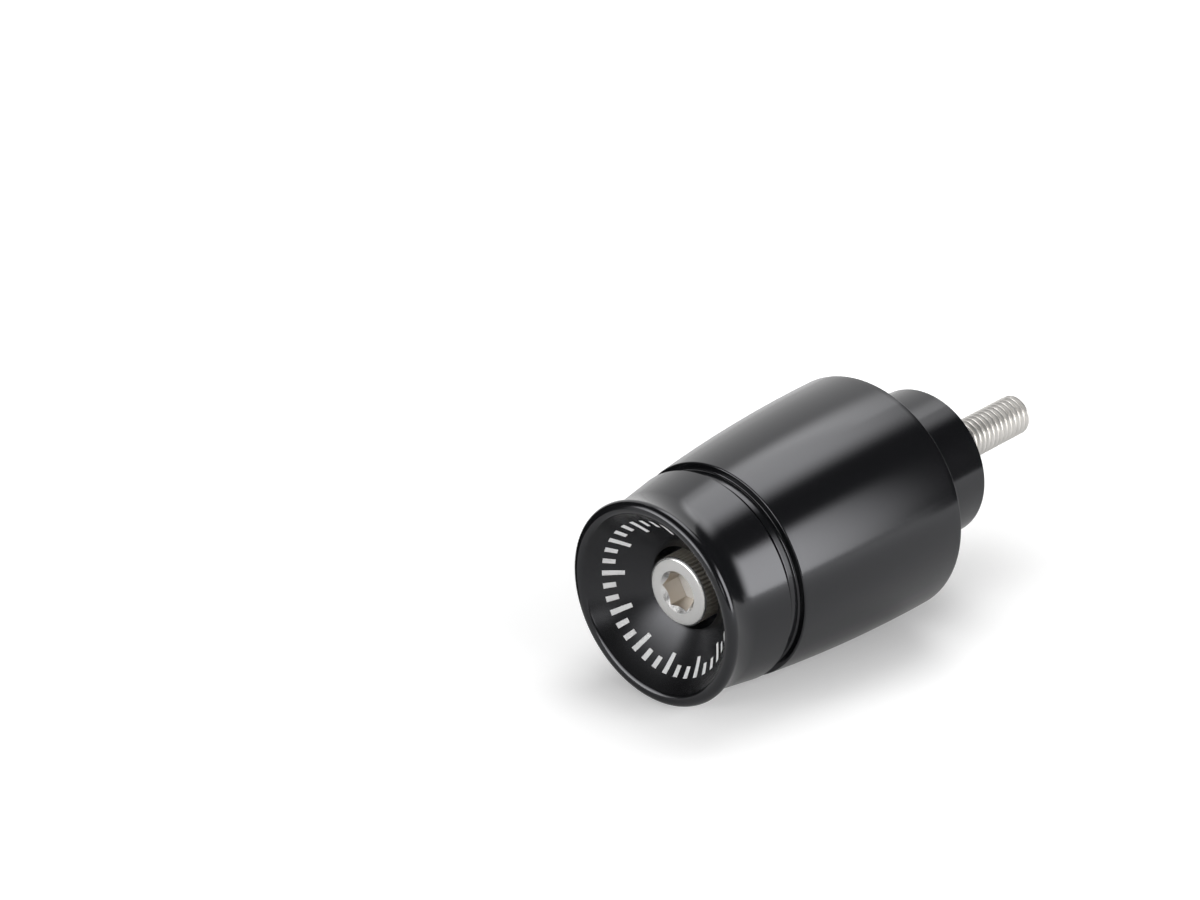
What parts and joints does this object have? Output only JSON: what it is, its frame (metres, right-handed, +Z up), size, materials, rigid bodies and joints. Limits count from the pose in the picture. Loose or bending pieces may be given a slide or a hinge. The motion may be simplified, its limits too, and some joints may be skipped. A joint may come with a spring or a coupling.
{
  "type": "bar end weight",
  "caption": "Turned handlebar end weight: flared cup-shaped end cap, tapered barrel body and bar collar, clamped on one axis by a long socket head screw whose thread stands out.",
  "frame": {"origin": "centre of the collar's flat seat, the plane that meets the end of the handlebar tube", "axes": "+Y along the common axis, out of the seat and into the bar; the flared rim faces -Y; +Z up"},
  "size_m": [0.035, 0.078, 0.035],
  "materials": {
    "black_anodised": "satin black anodised, turned",
    "stainless_steel": "bright stainless steel"
  },
  "bodies": {
    "root": {"end_cap": "black_anodised", "weight_body": "black_anodised", "bar_collar": "black_anodised", "cap_screw": "stainless_steel"}
  },
  "joints": []
}
